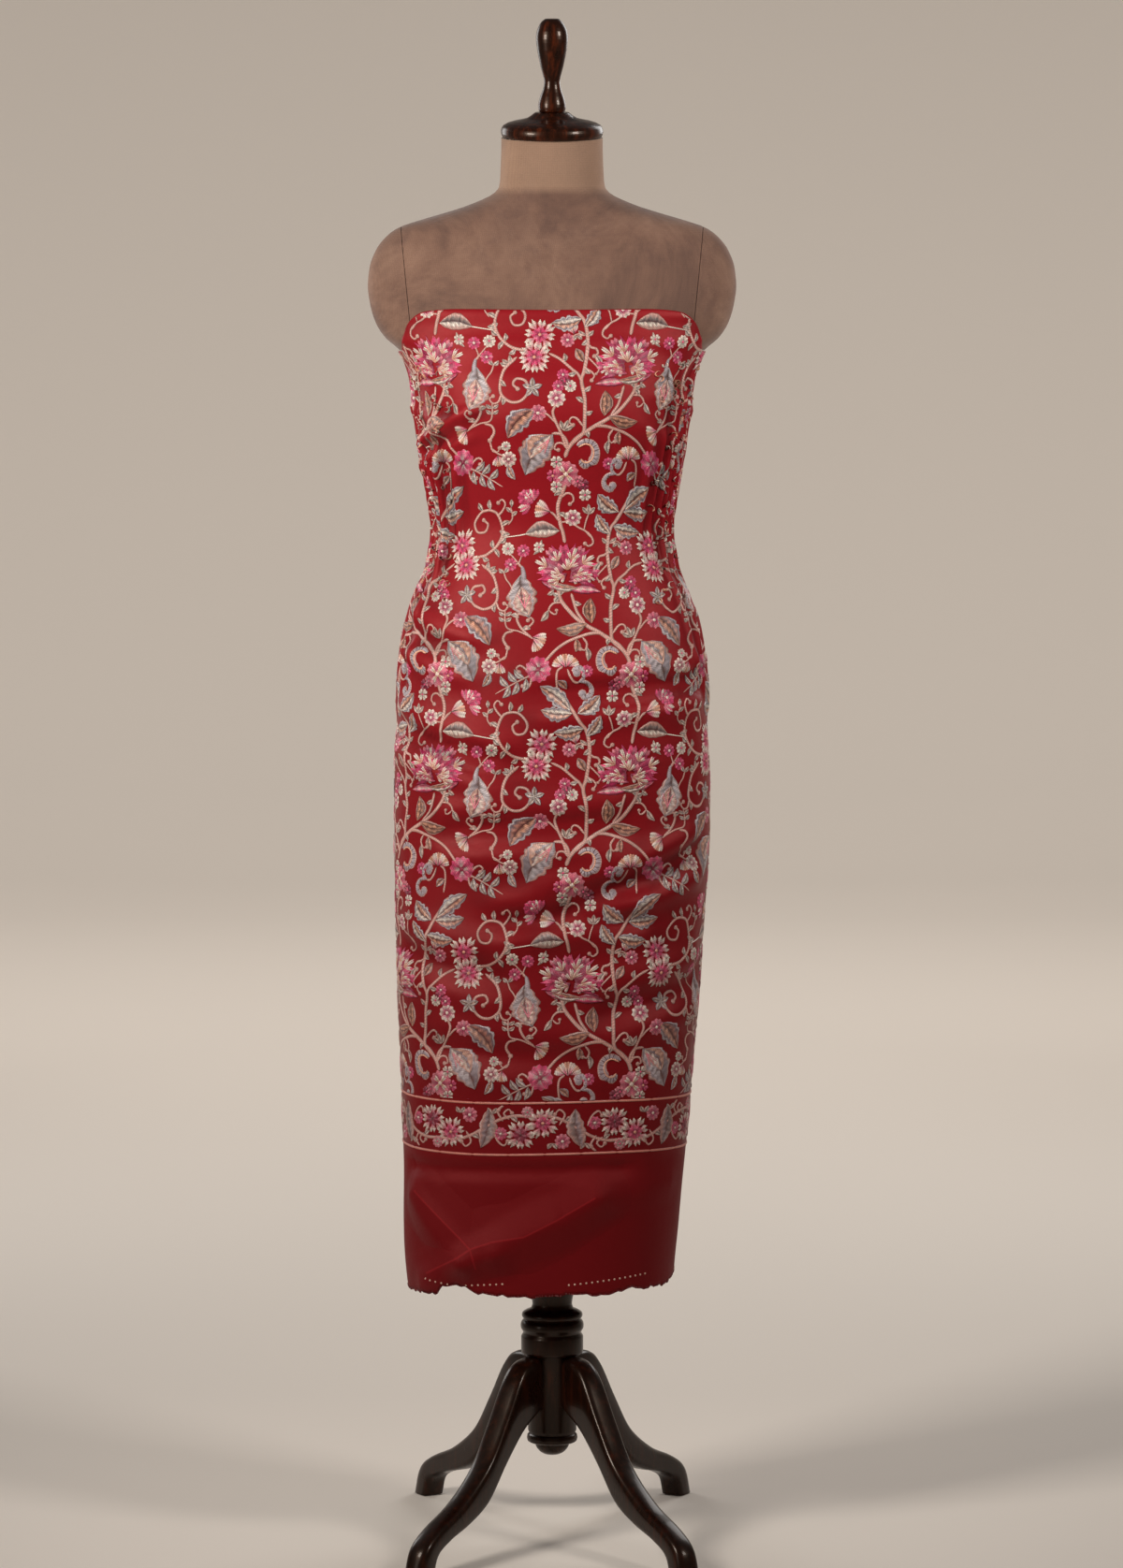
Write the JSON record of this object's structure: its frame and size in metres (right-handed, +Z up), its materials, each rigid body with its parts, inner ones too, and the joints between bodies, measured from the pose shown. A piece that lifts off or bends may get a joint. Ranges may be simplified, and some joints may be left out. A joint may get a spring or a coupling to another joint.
{
  "type": "embroidered dress cloth wrapped on a dress form stand",
  "caption": "Length of floral-embroidered silk wrapped as a strapless column round a limbless dress form on a turned wooden stand with curved legs.",
  "frame": {"origin": "on the floor, under the stand's column", "axes": "+Z up, front of the dress form towards -Y, +X to the viewer's right"},
  "size_m": [0.4028, 0.4758, 1.6828],
  "materials": {
    "cloth_silk": "red silk with floral thread embroidery, slight sheen",
    "form_cover": "worn brown linen",
    "dark_wood": "dark gloss varnish",
    "pole_steel": "black"
  },
  "bodies": {
    "stand": {"column": "dark_wood", "pole": "pole_steel", "leg_front_left": "dark_wood", "leg_front_right": "dark_wood", "leg_back_right": "dark_wood", "leg_back_left": "dark_wood"},
    "form": {"torso": "form_cover", "shoulder_cap_left": "form_cover", "shoulder_cap_right": "form_cover", "neck_cap": "dark_wood", "finial": "dark_wood", "cloth_front": "cloth_silk", "cloth_back_under": "cloth_silk", "cloth_back_over": "cloth_silk"}
  },
  "joints": [
    {"name": "form_swivel", "type": "hinge", "parent": "stand", "child": "form", "pos_m": [0, 0, 0.694], "axis": [0, 0, 1], "continuous": true}
  ]
}
